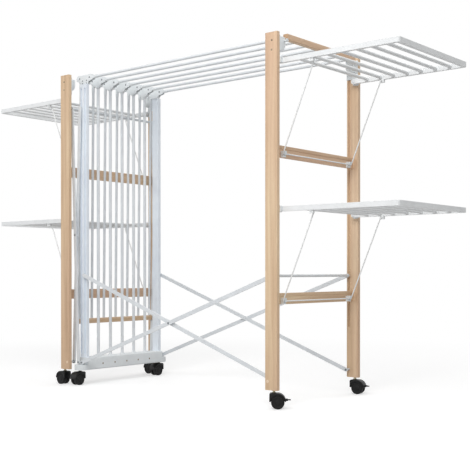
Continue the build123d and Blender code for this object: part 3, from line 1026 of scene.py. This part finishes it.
@dataclass
class Caster:
    """A twin-wheel swivel caster, which has a brake pedal at the pulled-out end.

    Its own x runs back from the stem past the axle, and its z up from the floor.
    """

    fitter: Fitter
    name: str
    at: Flat
    heading: float
    stem_top: float
    wheel: float = 0.027
    axle_x: float = 0.015
    hood_front: float = -0.019
    hood_top: float = 0.0642
    hood_rim: float = 0.030  # the hood's open lower edge
    hood_width: float = 0.042
    hood_edge: float = 0.0022
    nose: float = 0.008  # radius of the hood's front top corner
    sweep: float = 0.0322  # radius of its rounded back
    arch: float = 0.0283  # radius of the room for the wheels
    wall_reach: float = 0.0288  # radius of the wall between the wheels, which ends inside the hood
    wall_inset: float = 0.003  # in from the hood's front
    wall_drop: float = 0.004  # down from the hood's top
    wall_width: float = 0.010
    disc: Profile = (  # the wall's round part, bored for the axle
        (0.0033, -0.005), (0.022, -0.005), (0.023, -0.004), (0.023, 0.004), (0.022, 0.005),
        (0.0033, 0.005), (0.0033, -0.005),
    )
    boss: Profile = ((0, 0.0600), (0.0100, 0.0600), (0.0095, 0.0652), (0.0080, 0.0664), (0, 0.0664))
    axle_rod: Flat = (0.003, 0.007)  # radius and half its length, as in the two that follow
    brake_rod: Flat = (0.0015, 0.0098)
    barrel: Flat = (0.0026, 0.0078)
    brake_x: float = 0.053
    brake_z: float = 0.037
    ear_y: float = 0.00975
    ear_length: float = 0.010
    ear_width: float = 0.0025
    ear_radius: float = 0.0035
    pad_size: Point = (0.0130, 0.0160, 0.0032)
    pad_x: float = 0.0605
    rib_size: Point = (0.0012, 0.0120, 0.0010)
    rib_z: float = 0.0387
    ribs_x: tuple[float, ...] = (0.0575, 0.0599, 0.0623, 0.0647)
    dish: Profile = (  # a wheel's radii as shares of the largest, and distances out from the middle
        (0, 0.0065), (0.90, 0.0065), (0.975, 0.0074), (1, 0.0095), (1, 0.0172), (0.972, 0.0192),
        (0.90, 0.0203), (0.82, 0.0203), (0.78, 0.0194), (0.74, 0.0182), (0.42, 0.0178), (0.36, 0.0190),
        (0.30, 0.0203), (0, 0.0205),
    )
    sleeve_z: float = 0.066
    sleeve_bore: float = 0.0041
    flange_radius: float = 0.0066
    neck_radius: float = 0.0050
    grip_radius: float = 0.0078
    pin_radius: float = 0.004
    pin_z: float = 0.060
    pin_rise: float = 0.020  # how far the stem's pin goes up into the frame

    @property
    def braked(self) -> bool:
        """Whether this caster has a brake pedal."""
        return self.name.startswith(Side.RIGHT.word)

    @property
    def axle(self) -> Point:
        """The middle of the wheels' axle."""
        return (self.axle_x, 0.0, self.wheel)

    def build(self) -> None:
        """Fits the hood, wheels, stem and pedal where the plain ones stand."""
        finishes = self.fitter.finishes
        pieces = [
            ("hood", "caster", finishes.black, "black_plastic", self._hood(), ["caster_housing"]),
            ("twin_wheels", "wheels", finishes.tread, "wheel_rubber", self._wheels(), ["caster_wheels"]),
            ("stem", "caster", finishes.bronze, "steel", self._stem(), []),
        ]
        if self.braked:
            pieces.append(
                ("brake_pedal", "brake", finishes.black, "black_plastic", self._pedal(), ["brake_lever"])
            )
        place = Matrix.Translation((*self.at, 0)) @ Matrix.Rotation(math.radians(self.heading), 4, "Z")
        for piece, body, material, slot, shapes, plain in pieces:
            self.fitter.fit(
                f"{self.name}_{piece}", f"{self.name}_{body}", material, slot,
                [(mesh, place @ own) for mesh, own in shapes],
                [f"{self.name}_{node}" for node in plain],
            )

    def _hood(self) -> list[Shape]:
        """A moulded hood over the wheels, with a wall between them and a boss on top.

        Returns:
            Its shapes.
        """
        front, top, rim, sweep = self.hood_front, self.hood_top, self.hood_rim, self.sweep
        axle = (self.axle_x, self.wheel)
        back = math.degrees(math.asin((rim - top + sweep) / sweep))
        inside = math.degrees(math.asin((rim - self.wheel) / self.arch))
        crown = arc((front + self.nose, top - self.nose), self.nose, 180, 90, 5)
        crown += arc((self.axle_x, top - sweep), sweep, 90, back, 16)
        opening = arc(axle, self.arch, inside, 180 - inside, 22)
        shell = slab([(front, rim), *crown, *opening], self.hood_width, self.hood_edge)
        inset = front + self.wall_inset
        reach = arc(axle, self.wall_reach, 95, 8, 12)
        wall = slab([(inset, rim), (inset, top - self.wall_drop), *reach], self.wall_width, 0.0010)
        disc, boss = turned(self.disc, steps=40), turned(self.boss, steps=28)
        still = Matrix.Identity(4)
        shapes = [(shell, still), (wall, still), (disc, stand(self.axle, ACROSS)), (boss, still)]
        return shapes + self._ears() if self.braked else shapes

    def _ears(self) -> list[Shape]:
        """Two ears behind the hood, and the pin between them that the pedal turns on.

        Returns:
            Their shapes.
        """
        x, z = self.brake_x, self.brake_z
        root, end = x - self.ear_length, arc((x, z), self.ear_radius, -90, 90, 8)
        outline = [(root, z - 0.0045), (x, z - 0.0045), *end, (root, z + 0.0040)]
        ear = slab(outline, self.ear_width, 0.0005)
        shapes = [(ear, Matrix.Translation((0, way * self.ear_y, 0))) for way in (-1, 1)]
        return [*shapes, (rod(*self.brake_rod), stand((x, 0, z), ACROSS))]

    def _wheels(self) -> list[Shape]:
        """Two dished wheels with a raised hub, on one axle.

        Returns:
            Their shapes.
        """
        dish = turned([(self.wheel * share, out) for share, out in self.dish], steps=48)
        shapes = [(dish, stand(self.axle, (0, way, 0))) for way in (-1, 1)]
        return [*shapes, (rod(*self.axle_rod), stand(self.axle, ACROSS))]

    def _stem(self) -> list[Shape]:
        """The bronze sleeve and grip ring that show above the hood, and the pin inside.

        Returns:
            Their shapes.
        """
        low, high = self.sleeve_z, self.stem_top
        bore, flange, neck, grip = self.sleeve_bore, self.flange_radius, self.neck_radius, self.grip_radius
        sleeve = turned(
            [(bore, low), (flange, low), (flange, low + 0.0016), (neck + 0.0002, low + 0.0022),
             (neck, high - 0.0022), (grip, high - 0.0018), (grip, high), (bore, high), (bore, low)]
        )
        foot, tip, radius = self.pin_z, high + self.pin_rise, self.pin_radius
        pin = turned(
            [(0, foot), (radius, foot), (radius, tip - 0.001), (radius - 0.001, tip), (0, tip)], steps=20
        )
        return [(sleeve, Matrix.Identity(4)), (pin, Matrix.Identity(4))]

    def _pedal(self) -> list[Shape]:
        """A ribbed brake pedal behind the hood.

        Returns:
            Its shapes.
        """
        pad, rib = block(self.pad_size, 0.0009), block(self.rib_size, 0.0003)
        shapes = [(pad, Matrix.Translation((self.pad_x, 0, self.brake_z)))]
        shapes += [(rib, Matrix.Translation((x, 0, self.rib_z))) for x in self.ribs_x]
        barrel = rod(*self.barrel, steps=20)
        return [*shapes, (barrel, stand((self.brake_x, 0, self.brake_z), ACROSS))]


@dataclass
class CasterSet:
    """The six casters, where the frames' stems stand."""

    fitter: Fitter
    end_stem: Flat = (0.039, 0.0097)  # outward from an end frame's inner edge, in from its outer face
    end_top: float = 0.074
    centre_stem: Flat = (CENTRE_X - 0.009, 0.270)
    centre_top: float = 0.072

    def build(self) -> None:
        """Fits the end frames' four casters, then the centre frame's two."""
        for side in Side:
            for row in Row:
                at = (side.x(self.end_stem[0]), row.y(self.end_stem[1]))
                self._add(f"{side.word}_{row.word}", at, self.end_top)
        for row in Row:
            at = (self.centre_stem[0], row.value * self.centre_stem[1])
            self._add(f"centre_{row.word}", at, self.centre_top)

    def _add(self, name: str, at: Flat, stem_top: float) -> None:
        """Fits one caster, turned to its own heading."""
        Caster(self.fitter, name, at, HEADINGS[name], stem_top).build()


@dataclass(frozen=True)
class Softbox:
    """A square soft lamp that faces the rack."""

    name: str
    at: Point
    size: float
    watts: float
    target: Point = (0.0, 0.0, 0.75)

    def build(self) -> None:
        """Hangs the lamp."""
        data = bpy.data.lights.new(self.name, "AREA")
        data.size, data.energy = self.size, self.watts
        lamp = bpy.data.objects.new(self.name, data)
        bpy.context.scene.collection.objects.link(lamp)
        lamp.location = self.at
        towards = Vector(self.target) - Vector(self.at)
        lamp.rotation_euler = towards.to_track_quat("-Z", "Y").to_euler()


@dataclass
class Studio:
    """The pale floor, soft light and camera."""

    eye: Point = (2.8763, -3.2178, 0.5484)
    look: Point = (-0.6380, 0.7700, -0.0059)
    lens: float = 70.45
    sensor: float = 36.0
    shift: Flat = (-0.0077, 0.0896)
    lamps: tuple[Softbox, ...] = (
        Softbox("key_softbox", (1.8, -3.0, 3.6), 2.6, 112.0),
        Softbox("fill_softbox", (-3.0, -3.8, 2.4), 3.0, 34.0),
        Softbox("rear_softbox", (0.5, 3.4, 4.0), 3.0, 40.0),
    )
    floor_size: float = 30.0
    floor_tone: Colour = (0.68, 0.68, 0.68)
    floor_glow: float = 0.42
    floor_bounce: Colour = (0.54, 0.54, 0.54)  # what it throws back at the rack
    fade: Flat = (1.4, 3.6)  # distances from the middle where the floor starts to whiten and is white
    sky_light: float = 0.45

    def build(self) -> None:
        """Sets the whole stage."""
        bpy.context.scene.view_settings.view_transform = "Standard"
        self._floor()
        self._world()
        for lamp in self.lamps:
            lamp.build()
        self._camera()

    def _camera(self) -> None:
        """Adds the camera that shows the rack."""
        camera = bpy.data.objects.new("view_camera", bpy.data.cameras.new("view_camera"))
        bpy.context.scene.collection.objects.link(camera)
        camera.location = self.eye
        camera.rotation_euler = Vector(self.look).to_track_quat("-Z", "Y").to_euler()
        camera.data.lens, camera.data.sensor_width = self.lens, self.sensor
        camera.data.shift_x, camera.data.shift_y = self.shift
        bpy.context.scene.camera = camera

    def _floor(self) -> None:
        """Lays a wide pale floor."""
        bm = bmesh.new()
        bmesh.ops.create_grid(bm, x_segments=1, y_segments=1, size=self.floor_size)
        mesh = _to_mesh(bm)
        mesh.materials.append(self._floor_finish())
        floor = bpy.data.objects.new("studio_floor", mesh)
        bpy.context.scene.collection.objects.link(floor)

    def _floor_finish(self) -> bpy.types.Material:
        """A floor that keeps soft shadows by the rack and whitens away from it.

        Returns:
            The material.
        """
        board = Board("studio_floor", {"Roughness": 0.9, "Base Color": self.floor_tone})
        glow = board.node("ShaderNodeEmission", sockets={"Color": WHITE, "Strength": self.floor_glow})
        white = board.node("ShaderNodeEmission", sockets={"Color": WHITE, "Strength": 1.0})
        lit = board.node("ShaderNodeAddShader", sockets={0: board.shader.outputs[0], 1: glow.outputs[0]})
        away = board.node("ShaderNodeVectorMath", {"operation": "LENGTH"}, {0: board.place((1.0, 1.0, 0.0))})
        far = board.node(
            "ShaderNodeMapRange", {"interpolation_type": "SMOOTHSTEP"},
            {0: away.outputs["Value"], 1: self.fade[0], 2: self.fade[1]},
        )
        near = board.node(
            "ShaderNodeMixShader", sockets={0: far.outputs[0], 1: lit.outputs[0], 2: white.outputs[0]}
        )
        bounce = board.node("ShaderNodeBsdfDiffuse", sockets={"Color": self.floor_bounce})
        faces = {0: board.seen(), 1: bounce.outputs[0], 2: near.outputs[0]}
        board.show(board.node("ShaderNodeMixShader", sockets=faces))
        return board.material

    def _world(self) -> None:
        """Makes the world white to the eye and to reflections, and a soft grey as light."""
        world = bpy.data.worlds.new("studio_world")
        world.use_nodes = True
        bpy.context.scene.world = world
        tree = Tree(world.node_tree)
        strength = self.sky_light + (1.0 - self.sky_light) * tree.seen()
        sky = tree.node("ShaderNodeBackground", sockets={"Color": WHITE, "Strength": strength})
        tree.node("ShaderNodeOutputWorld", sockets={"Surface": sky.outputs[0]})


def main() -> None:
    """Loads the frame, dresses the rack and sets the stage."""
    logging.basicConfig(level=logging.INFO, format="%(name)s: %(message)s")
    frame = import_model()
    fitter = Fitter(Finishes(), frame["nodes"])
    CentreFrame(fitter).build()
    for side in Side:
        EndFrame(fitter, side).build()
        Scissor(fitter, side).build()
        ClothesGrid(fitter, side).build()
        for level in ("upper", "lower"):
            Wing(fitter, side, level).build()
    CasterSet(fitter).build()
    Studio().build()


if __name__ == "__main__":
    main()
